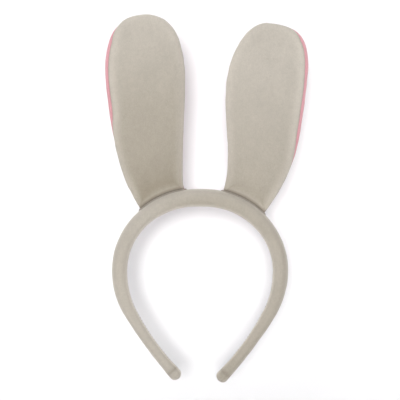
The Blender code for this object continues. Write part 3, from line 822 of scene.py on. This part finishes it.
# Foam sleeve between the cover and the core.
def makeFoam(name):
    end = legEnd(name)
    count = band["coreSides"]
    steps = round(end / (2 * band["ringSpacing"]))
    reach, _ = bandSize(end, end)
    inset = band["foamInset"] + foam["clearance"]
    outer = []
    for index in range(steps + foam["tipSteps"] + 1):
        bow = max(0, index - steps) * foam["tipTurn"]
        length = min(end, end * index / steps)
        halfThickness, halfDepth = bandSize(length, end)
        centre, outward = bandFrame(length + (reach - inset) * sin(bow), sides[name])
        ring = []
        for side in range(count):
            turn = 2 * pi * (side + 0.5) / count
            out, across = sectionPoint(turn, halfThickness - inset, halfDepth - inset)
            ring.append(centre + outward * out * cos(bow) + depth * across * cos(bow))
        outer.append(ring)
    inner = coreRings(name, end - band["coreEndSpace"] + band["layerGap"], band["layerGap"])
    piece = sleeve(name + "_band_foam", outer, inner, "cream_foam", {})
    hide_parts(name + "_leg_foam", *(["crown_foam"] if name == "left" else []))
    bendWithLeg(piece)


seamThread = {
    "radius": 0.00033, "halfLength": 0.0007, "slant": 0.0009, "arch": 0.00020, "dive": 0.00042,
    "lift": 0.00005, "sides": 8,
}

# Slanted hand stitches that close the cover along the inner face.
def makeClosingSeam(name):
    end = legEnd(name)
    last = end - band["tipSwellLength"] / 2
    count = round(last / (closing["pitch"] / 2))
    points, faces = [], []
    for index in range(count):
        length = last * (index + 0.5) / count
        path = []
        for share in (-1.0, -0.6, 0.0, 0.6, 1.0):
            along = length + seamThread["halfLength"] * share
            halfThickness, halfDepth = bandSize(along, end)
            centre, outward = bandFrame(along, sides[name])
            across = closing["depthShare"] * halfDepth + seamThread["slant"] * share
            drop = faceDistance(across, halfThickness, halfDepth, band["innerRoundness"])
            rise = seamThread["arch"] * (1.0 - share * share) - seamThread["dive"] * share ** 4
            rise += seamThread["lift"]
            path.append(centre - outward * (drop + rise) + depth * across)
        addTube(points, faces, path, seamThread["radius"], seamThread["sides"])
    seam = closedPiece(name + "_band_seam", points, faces, "grey_thread")
    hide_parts(name + "_leg_seam_thread", *(["crown_seam_thread"] if name == "left" else []))
    bendWithLeg(seam)


tipThread = {"radius": 0.000297, "halfSpan": 0.27, "lift": 0.00018, "dive": 0.00075, "sides": 8}

# Running stitches of the gathering thread round the leg, just before its tip.
def makeTipStitches(name):
    end = legEnd(name)
    middle = end - gather["before"]
    halfThickness, halfDepth = bandSize(middle, end)
    centre, outward = bandFrame(middle, sides[name])
    points, faces = [], []
    for index in range(gather["folds"]):
        path = []
        for share in (-1.0, -0.6, -0.2, 0.2, 0.6, 1.0):
            turn = 2 * pi * (index + 0.5 + tipThread["halfSpan"] * share) / gather["folds"]
            out, across = sectionPoint(turn, halfThickness, halfDepth)
            normalOut, normalAcross = sectionNormal(out, across, halfThickness, halfDepth)
            lift = tipThread["lift"] - tipThread["dive"] * share ** 4 - gather["neck"]
            path.append(centre + outward * (out + normalOut * lift) + depth * (across + normalAcross * lift))
        addTube(points, faces, path, tipThread["radius"], tipThread["sides"])
    stitches = closedPiece(name + "_tip_stitches", points, faces, "grey_thread")
    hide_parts(name + "_tip_stitching")
    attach(stitches, name + "_leg")


for name in sides:
    makeCover(name)
    makeFoam(name)
    makeCore(name)
    makeClosingSeam(name)
    makeTipStitches(name)
print("band ready")


# the ears

# Point at a length along the band, lifted off its outer face.
def surfacePoint(length, side, lift):
    centre, outward = bandFrame(length, side)
    halfThickness, _ = bandSize(length, legEnd("left"))
    return centre + outward * (halfThickness + lift)


# Points of a cubic curve, without its last one.
def bezier(points, steps):
    result = []
    for index in range(steps):
        share = index / steps
        rest = 1.0 - share
        weights = (rest ** 3, 3 * share * rest ** 2, 3 * share ** 2 * rest, share ** 3)
        result.append(sum((point * weight for point, weight in zip(points, weights)), Vector()))
    return result


# Stations round the ear: point, step up the edge, outer edge or not, seat or not, height.
def earOutline(name):
    ear, side = ears[name], sides[name]
    seat = surfacePoint(ear["seatLength"], side, earCut["seatLift"])
    up = Vector((side * sin(ear["lean"]), 0.0, cos(ear["lean"])))
    across = Vector((side * cos(ear["lean"]), 0.0, -sin(ear["lean"])))
    top = seat + up * ear["height"]
    topAcross = across * cos(ear["topTilt"]) + up * sin(ear["topTilt"])
    edges = {}
    for edge, sign, end in (("inner", -1.0, ear["corners"][0]), ("outer", 1.0, ear["corners"][1])):
        shape = ear[edge]
        seatHandle, sideHandle, shoulderHandle, topHandle = shape["handles"]
        corner = surfacePoint(end, side, earCut["seatLift"])
        leaving = up * cos(shape["flare"]) + across * sign * sin(shape["flare"])
        widest = seat + up * shape["widest"] + across * sign * shape["width"]
        lower = (corner, corner + leaving * seatHandle, widest - up * sideHandle, widest)
        upper = (widest, widest + up * shoulderHandle, top + topAcross * sign * topHandle, top)
        edges[edge] = bezier(lower, earCut["lowerSteps"]) + bezier(upper, earCut["upperSteps"])
    last = len(edges["inner"])
    spine = [(a + b) / 2 for a, b in zip(edges["inner"], edges["outer"])]
    stations = [(point, step, False, False) for step, point in enumerate(edges["inner"])]
    stations.append((top, last, True, False))
    stations += [(point, step, True, False) for step, point in reversed(list(enumerate(edges["outer"])))]
    for index in range(1, earCut["seatSteps"]):
        length = ear["corners"][1] + (ear["corners"][0] - ear["corners"][1]) * index / earCut["seatSteps"]
        stations.append((surfacePoint(length, side, earCut["seatLift"]), 0, False, True))
    heights = [(point - seat).dot(up) for point in spine]
    low = next(i for i, height in enumerate(heights) if height > earCut["spineLow"] * ear["height"])
    high = next(i for i, height in enumerate(heights) if height > earCut["spineHigh"] * ear["height"])
    return {"stations": stations, "spine": spine, "low": low, "high": high, "seat": seat, "up": up,
            "across": across, "height": ear["height"], "side": side, "name": name}


# Mitred inward direction at each station.
def inwardDirections(stations):
    places = [station[0] for station in stations]
    middle = sum(places, Vector()) / len(places)
    result = []
    for index, point in enumerate(places):
        before = (point - places[index - 1]).normalized()
        after = (places[(index + 1) % len(places)] - point).normalized()
        first = Vector((-before.z, 0.0, before.x))
        second = Vector((-after.z, 0.0, after.x))
        if first.dot(middle - point) + second.dot(middle - point) < 0:
            first, second = -first, -second
        result.append((first + second) / (1.0 + first.dot(second)))
    return result


# Rows of points round an ear-shaped pad.
# Each station has a row from the back's spine over the rim to the front's spine. rimAngles gives
# a station's angles on the rounded rim: 0 is the rim's middle and +90 degrees the front.
# Returns the rows and the outward direction at each of their points.
def earGrid(outline, inset, edgeRound, seatRound, half, seatHalf, rimAngles):
    stations = outline["stations"]
    inward = inwardDirections(stations)
    steps = earCut["faceSteps"]

    def halfAt(point):
        height = (point - outline["seat"]).dot(outline["up"])
        return seatHalf + (half - seatHalf) * smooth(height, 0.0, earCut["thicken"])

    rows, normals = [], []
    for (point, step, outer, seated), direction in zip(stations, inward):
        height = (point - outline["seat"]).dot(outline["up"])
        rising = 0.0 if seated else smooth(height, 0.0, earCut["roundRise"])
        radius = seatRound + (edgeRound - seatRound) * rising
        start = point + direction * (inset + radius)
        core = outline["spine"][min(max(step, outline["low"]), outline["high"])]
        face = []
        for index in range(steps):
            share = 1.0 - index / steps
            place = start.lerp(core, share)
            face.append((place, halfAt(place)))
        row = [place - depth * thickness for place, thickness in face]
        line = [-depth] * steps
        ownHalf = halfAt(start)
        outward = -direction.normalized()
        for angle in rimAngles((point, step, outer, seated)):
            place = point + direction * (inset + radius * (1.0 - cos(angle)))
            row.append(place + depth * ownHalf * sin(angle))
            line.append(outward * cos(angle) + depth * sin(angle))
        row += [place + depth * thickness for place, thickness in reversed(face)]
        rows.append(row)
        normals.append(line + [depth] * steps)
    return rows, normals


# Where the panels meet: just in front of the rim, and behind it along the outer edge.
def seamAngle(outline, station):
    point, _, outer, _ = station
    share = (point - outline["seat"]).dot(outline["up"]) / outline["height"]
    tuck = earCut["seamTuck"] * smooth(share, 0.0, earCut["tuckRise"])
    riseStart, riseEnd, fallStart, fallEnd = ears[outline["name"]]["wrapSpan"]
    weight = smooth(share, riseStart, riseEnd) * (1.0 - smooth(share, fallStart, fallEnd)) if outer else 0.0
    return tuck * (1.0 - weight) - earCut["wrap"] * weight


# Vertex numbers of a grid whose end columns share the points of the spine.
def gridNumbers(outline, rows, columns):
    numbers, points, shared = [], [], {}
    last = len(rows[0]) - 1
    for row, (_, step, _, _) in zip(rows, outline["stations"]):
        line = {}
        for column in columns:
            if column in (0, last):
                key = (column, min(max(step, outline["low"]), outline["high"]))
                if key not in shared:
                    shared[key] = len(points)
                    points.append(row[column])
                line[column] = shared[key]
            else:
                line[column] = len(points)
                points.append(row[column])
        numbers.append(line)
    return numbers, points


# Faces between neighbouring stations; a face that ends on one spine point is a triangle.
def gridFaces(numbers, columns):
    faces = []
    count = len(numbers)
    for index in range(count):
        here, there = numbers[index], numbers[(index + 1) % count]
        for left, right in zip(columns, columns[1:]):
            corners = [here[left], there[left], there[right], here[right]]
            face = [corner for place, corner in enumerate(corners) if corner != corners[place - 1]]
            if len(set(face)) > 2:
                faces.append(tuple(face))
    return faces


inflate = {
    "frames": 20, "pressure": 4.0, "tension": 40.0, "bending": 1.5, "shrink": -0.006, "capDepth": 0.0024,
    "capWidth": 0.0004, "evenRounds": 24, "evenShare": 0.6, "seamHold": 0.0050, "quality": 6,
}

# Cloth swollen by air, as stuffing swells it; the held points stay where they are.
# freedom is how far each point follows the cloth, from 0 at the seam to 1.
def inflateSkin(points, faces, held, freedom):
    mesh = bpy.data.meshes.new("skin")
    mesh.from_pydata([tuple(point) for point in points], [], faces)
    bm = bmesh.new()
    bm.from_mesh(mesh)
    bmesh.ops.recalc_face_normals(bm, faces=bm.faces)
    bm.to_mesh(mesh)
    bm.free()
    skin = bpy.data.objects.new("skin", mesh)
    scene.collection.objects.link(skin)
    skin.vertex_groups.new(name="held").add(held, 1.0, "REPLACE")
    cloth = skin.modifiers.new("cloth", "CLOTH")
    cloth.settings.quality = inflate["quality"]
    cloth.settings.tension_stiffness = inflate["tension"]
    cloth.settings.compression_stiffness = inflate["tension"]
    cloth.settings.bending_stiffness = inflate["bending"]
    cloth.settings.use_pressure = True
    cloth.settings.uniform_pressure_force = inflate["pressure"]
    cloth.settings.shrink_min = inflate["shrink"]
    cloth.settings.vertex_group_mass = "held"
    cloth.settings.effector_weights.gravity = 0.0
    cloth.collision_settings.use_collision = False
    cloth.point_cache.frame_start = 1
    cloth.point_cache.frame_end = inflate["frames"]
    for number in range(1, inflate["frames"] + 1):
        scene.frame_set(number)
    shaped = skin.evaluated_get(bpy.context.evaluated_depsgraph_get())
    start = np.array([tuple(point) for point in points])
    shift = np.array([tuple(vertex.co) for vertex in shaped.data.vertices]) - start
    edges = np.array([tuple(edge.vertices) for edge in mesh.edges])
    scene.frame_set(1)
    bpy.data.objects.remove(skin, do_unlink=True)
    limit = np.array((inflate["capWidth"], inflate["capDepth"], inflate["capWidth"]))
    shift = np.clip(shift, -limit, limit)
    neighbours = np.bincount(edges.ravel(), minlength=len(start)).reshape(-1, 1)
    share = inflate["evenShare"]
    for _ in range(inflate["evenRounds"]):       # evens out crumples and keeps the swelling
        total = np.zeros_like(shift)
        np.add.at(total, edges[:, 0], shift[edges[:, 1]])
        np.add.at(total, edges[:, 1], shift[edges[:, 0]])
        shift = (1.0 - share) * shift + share * total / neighbours
        shift[held] = 0.0
    return [Vector(place) for place in start + shift * freedom.reshape(-1, 1)]


# The seam and crease shade values are painted shade in the ear's seam groove and where the ear meets the
# band.
relief = {
    "seamGroove": 0.00035, "seamWidth": 0.0006, "seamShade": 0.25, "seamShadeWidth": 0.0005,
    "puckerDepth": 0.00030, "puckerSize": 0.0075, "puckerReach": 0.0070, "puckerFrom": 0.0015,
    "lumpDepth": 0.00040, "lumpSize": 0.030, "smallDepth": 0.00014, "smallSize": 0.0108,
    "baseDepth": 0.00045, "baseSize": 0.0080, "baseReach": 0.016, "seatedShare": 0.2,
    "baseFrom": -0.001, "baseTo": 0.003, "gatherStretch": 0.12,
    "baseCreaseShade": 0.80, "creaseFrom": 0.0010, "creaseTo": 0.0025,
}
# Where the ear's painted highlight lies, and how its painted shade lightens near the rim and darkens beside
# the band.
rimAndBaseShading = {
    "paintedHighlightPlace": 0.0036, "paintedHighlightWidth": 0.0032, "rimShare": 0.35, "rimFrom": 0.001, "rimTo": 0.011,
    "baseShare": 0.40, "baseReach": 0.006,
}

# Length along the band below a point of the ear, kept between the ear's two corners.
def lengthBelow(outline, place):
    ear = ears[outline["name"]]
    reach = (place - outline["seat"]).dot(outline["across"])
    return max(ear["corners"][0], min(ear["corners"][1], ear["seatLength"] + reach))


# Height of a point over the band's outer face, measured square to the band.
def baseHeight(outline, place):
    length = lengthBelow(outline, place)
    halfThickness, halfDepth = bandSize(length, legEnd(outline["name"]))
    centre, outward = bandFrame(length, outline["side"])
    rise = faceDistance(place.y, halfThickness, halfDepth, band["outerRoundness"])
    return (place - centre).dot(outward) - rise


# How much painted shade the ear gets: darker towards the base and beside the band, lighter near the rim.
def wornShare(outline, height, gap, lift):
    share = level(ears[outline["name"]]["worn"], height / outline["height"])
    rimShare = rimAndBaseShading["rimShare"]
    share *= rimShare + (1.0 - rimShare) * smooth(gap, rimAndBaseShading["rimFrom"], rimAndBaseShading["rimTo"])
    return min(1.0, share + rimAndBaseShading["baseShare"] * exp(-max(0.0, lift) / rimAndBaseShading["baseReach"]))


# How far one point of the ear's skin stands off: seam groove, puckers beside it, lumps, base gathers.
def skinShift(place, gap, height, sideways, walked, seated, seed, front):
    groove = exp(-(gap / relief["seamWidth"]) ** 2) * (0.0 if seated else 1.0)
    shift = -relief["seamGroove"] * groove
    pucker = lumps((walked, 0.0, seed * 0.01), relief["puckerSize"], seed + front)
    pucker *= exp(-gap / relief["puckerReach"]) * smooth(gap, 0.0, relief["puckerFrom"])
    shift += relief["puckerDepth"] * pucker
    shift += relief["lumpDepth"] * lumps(place, relief["lumpSize"], seed + front * 3)
    shift += relief["smallDepth"] * lumps(place, relief["smallSize"], seed - front * 3)
    gathers = lumps((sideways, height * relief["gatherStretch"], 0.0), relief["baseSize"], seed + front * 5)
    fade = exp(-max(0.0, height) / relief["baseReach"])
    fade *= smooth(height, relief["baseFrom"], relief["baseTo"])
    shift += relief["baseDepth"] * gathers * fade
    return shift * (relief["seatedShare"] if seated else 1.0)


# Offsets of the ear's skin and its painted crease shade, painted highlight and painted shade, as rows like
# the grid's.
def skinRelief(outline, rows, seamColumn):
    offsets = []
    marks = {"creaseShade": [], "paintedHighlight": [], "worn": []}
    walked = 0.0
    previous = None
    seed = ears[outline["name"]]["seed"]
    for row, (point, _, _, seated) in zip(rows, outline["stations"]):
        walked += (point - previous).length if previous is not None else 0.0
        previous = point
        seam = row[seamColumn]
        offsets.append([])
        for values in marks.values():
            values.append([])
        for column, place in enumerate(row):
            gap = (place - seam).length
            height = (place - outline["seat"]).dot(outline["up"])
            sideways = (place - outline["seat"]).dot(outline["across"])
            front = 1.0 if column > seamColumn else -1.0
            offsets[-1].append(skinShift(place, gap, height, sideways, walked, seated, seed, front))
            lift = baseHeight(outline, place)
            crease = 1.0 - smooth(lift, relief["creaseFrom"], relief["creaseTo"])
            # painted shade in the seam groove and in the crease where the ear meets the band
            seamShade = relief["seamShade"] * exp(-(gap / relief["seamShadeWidth"]) ** 2)
            marks["creaseShade"][-1].append(max(seamShade, relief["baseCreaseShade"] * crease))
            # painted highlight a little in from the seam, and painted shade
            marks["paintedHighlight"][-1].append(exp(-((gap - rimAndBaseShading["paintedHighlightPlace"]) / rimAndBaseShading["paintedHighlightWidth"]) ** 2))
            marks["worn"][-1].append(wornShare(outline, height, gap, lift))
    return offsets, marks


# One velour panel: its outside, its inside a fabric's thickness away, and the rim between.
def makePanel(outline, rows, normals, columns, marks, label, slot):
    numbers, points = gridNumbers(outline, rows, columns)
    seamColumn = columns[-1] if columns[0] == 0 else columns[0]
    values = {key: [0.0] * len(points) for key in marks}
    inner = [None] * len(points)
    for index, line in enumerate(numbers):
        for column, number in line.items():
            inner[number] = rows[index][column] - normals[index][column] * earCut["fabric"]
            for key in marks:
                values[key][number] = marks[key][index][column]
    for line, row in zip(numbers, rows):
        nudge = row[seamColumn + (-1 if columns[0] == 0 else 1)] - row[seamColumn]
        shift = nudge.normalized() * earCut["panelShift"]
        points[line[seamColumn]] = points[line[seamColumn]] + shift
        inner[line[seamColumn]] = inner[line[seamColumn]] + shift
    size = len(points)
    faces = gridFaces(numbers, columns)
    innerNumbers = [{column: number + size for column, number in line.items()} for line in numbers]
    faces += [tuple(reversed(face)) for face in gridFaces(innerNumbers, columns)]
    rim = [line[seamColumn] for line in numbers]
    faces += ringFaces(rim, [number + size for number in rim])
    for key in values:
        values[key] = values[key] + values[key]
    return closedPiece(outline["name"] + label, points + inner, faces, slot, values, sharp=75)


# Bakes the piece's placement into its mesh.
def bendWithEar(piece, outline):
    _, outward = bandFrame(ears[outline["name"]]["seatLength"], outline["side"])
    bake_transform(piece)


# Back and front panels of one ear, swollen by the padding.
def makeEarSkin(outline):
    rim = earCut["rimSteps"]

    def angles(station):
        seam = seamAngle(outline, station)
        shares = [1.0 - (1.0 - i / rim) ** earCut["rimCrowding"] for i in range(rim)]
        back = [-pi / 2 + (seam + pi / 2) * share for share in shares]
        front = [pi / 2 - (pi / 2 - seam) * share for share in shares]
        return back + [seam] + list(reversed(front))

    rows, normals = earGrid(outline, 0.0, earCut["edgeRound"], earCut["seatRound"], earCut["halfThickness"],
                            earCut["seatHalfThickness"], angles)
    settleOnBand(outline, rows)
    seamColumn = earCut["faceSteps"] + rim
    columns = list(range(len(rows[0])))
    numbers, points = gridNumbers(outline, rows, columns)
    faces = gridFaces(numbers, columns)
    held = sorted({line[column] for line, station in zip(numbers, outline["stations"]) for column in columns
                   if column == seamColumn or (station[3] and abs(column - seamColumn) <= rim)})
    freedom = [0.0] * len(points)
    for line, row in zip(numbers, rows):
        for column, number in line.items():
            freedom[number] = smooth((row[column] - row[seamColumn]).length, 0.0, inflate["seamHold"])
    points = inflateSkin(points, faces, held, np.array(freedom))
    rows = [[points[line[column]] for column in columns] for line in numbers]
    offsets, marks = skinRelief(outline, rows, seamColumn)
    rows = [[place + normal * shift for place, normal, shift in zip(row, directions, line)]
            for row, directions, line in zip(rows, normals, offsets)]
    backSpan, frontSpan = columns[:seamColumn + 1], columns[seamColumn:]
    for half, span, slot in (("back", backSpan, "grey_velour"), ("front", frontSpan, "pink_velour")):
        panel = makePanel(outline, rows, normals, span, marks, "_ear_" + half, slot)
        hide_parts(outline["name"] + "_ear_" + half + "_panel")
        bendWithEar(panel, outline)


# Lower the ear's base onto the rounded band, in front of and behind its middle.
def settleOnBand(outline, rows):
    for index, (point, _, _, seated) in enumerate(outline["stations"]):
        height = (point - outline["seat"]).dot(outline["up"])
        weight = 1.0 if seated else 1.0 - smooth(height, 0.0, earCut["settle"])
        if weight <= 0.0:
            continue
        length = lengthBelow(outline, point)
        halfThickness, halfDepth = bandSize(length, legEnd(outline["name"]))
        _, outward = bandFrame(length, outline["side"])
        for column in range(earCut["faceSteps"], len(rows[index]) - earCut["faceSteps"]):
            place = rows[index][column]
            fall = halfThickness - faceDistance(place.y, halfThickness, halfDepth, band["outerRoundness"])
            rows[index][column] = place - outward * fall * weight


wadding = {
    "inset": 0.0050, "rimRound": 0.0020, "clearance": 0.0005, "rimTurns": (-90, -45, 0, 45, 90),
    "lumpDepth": 0.0002, "lumpSize": 0.006, "fill": 0.5,
}

# Soft filling inside the wire hoop.
def makeWadding(outline):
    turns = [radians(turn) for turn in wadding["rimTurns"]]
    spare = earCut["fabric"] + wadding["clearance"]
    rows, _ = earGrid(outline, wadding["inset"], wadding["rimRound"], wadding["rimRound"],
                      earCut["halfThickness"] - spare, earCut["seatHalfThickness"] - spare,
                      lambda station: turns)
    seed = ears[outline["name"]]["seed"]
    size, amount = wadding["lumpSize"], wadding["lumpDepth"]
    rows = [[place + depth * amount * lumps(place, size, seed) for place in row] for row in rows]
    columns = list(range(len(rows[0])))
    numbers, points = gridNumbers(outline, rows, columns)
    faces = gridFaces(numbers, columns)
    piece = closedPiece(outline["name"] + "_ear_wadding", points, faces, "white_wadding")
    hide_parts(outline["name"] + "_ear_padding")
    bendWithEar(piece, outline)


wire = {"radius": 0.0008, "inset": 0.0032, "openFrom": 3, "openTo": 5, "sides": 10}

# Hoop of wire along the edge, with its two ends turned in along the seat.
def makeWire(outline):
    inward = inwardDirections(outline["stations"])
    path = [station[0] + direction * wire["inset"] for station, direction in zip(outline["stations"], inward)]
    middle = len(path) - earCut["seatSteps"] // 2
    path = path[middle + wire["openFrom"]:] + path[:middle - wire["openTo"]]
    points, faces = [], []
    addTube(points, faces, path, wire["radius"], wire["sides"])
    hoop = closedPiece(outline["name"] + "_ear_hoop", points, faces, "steel_wire")
    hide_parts(outline["name"] + "_ear_wire")
    bendWithEar(hoop, outline)


baseStitch = {
    "count": 34, "halfWidth": 0.0037, "margin": 0.0012, "slant": 0.0008, "cross": 0.0006,
    "climb": 0.0006, "middleLift": 0.00033, "dive": 0.0002, "radius": 0.00030, "sides": 8,
}

# Point (along, across) at a distance round a slot shape with half-round ends.
def slotPoint(distance, straight, radius):
    quarter = straight + radius * pi / 2
    quadrant, run = divmod(distance, quarter)
    if quadrant in (1, 3):
        run = quarter - run
    turn = min(run / radius, pi / 2)
    along = straight + radius * cos(turn) - max(0.0, run - radius * pi / 2)
    across = radius * sin(turn)
    return along * (-1 if quadrant in (1, 2) else 1), across * (-1 if quadrant in (2, 3) else 1)


# Slanted stitches that fasten the ear's base to the band's velour.
def makeBaseStitches(outline):
    ear, name = ears[outline["name"]], outline["name"]
    end = legEnd(name)
    radius = baseStitch["halfWidth"]
    inner, outer = ear["corners"]
    straight = (outer - inner) / 2 + baseStitch["margin"] - radius
    around = 4 * (straight + radius * pi / 2)
    points, faces = [], []
    for index in range(baseStitch["count"]):
        path = []
        for share in (-1.0, -0.5, 0.0, 0.5, 1.0):
            distance = (around * (index + 0.5) / baseStitch["count"] + baseStitch["slant"] * share) % around
            along, across = slotPoint(distance, straight, radius - baseStitch["cross"] * share)
            length = (inner + outer) / 2 + along
            halfThickness, halfDepth = bandSize(length, end)
            centre, outward = bandFrame(length, outline["side"])
            height = faceDistance(across, halfThickness, halfDepth, band["outerRoundness"])
            height += baseStitch["middleLift"] + baseStitch["climb"] * share - baseStitch["dive"] * share ** 4
            path.append(centre + outward * height + depth * across)
        addTube(points, faces, path, baseStitch["radius"], baseStitch["sides"])
    stitches = closedPiece(name + "_ear_stitches", points, faces, "grey_thread")
    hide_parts(name + "_ear_stitching")
    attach(stitches, "crown")


for name in ears:
    outline = earOutline(name)
    makeEarSkin(outline)
    makeWadding(outline)
    makeWire(outline)
    makeBaseStitches(outline)
    print(name, "ear ready")

bpy.context.view_layer.update()
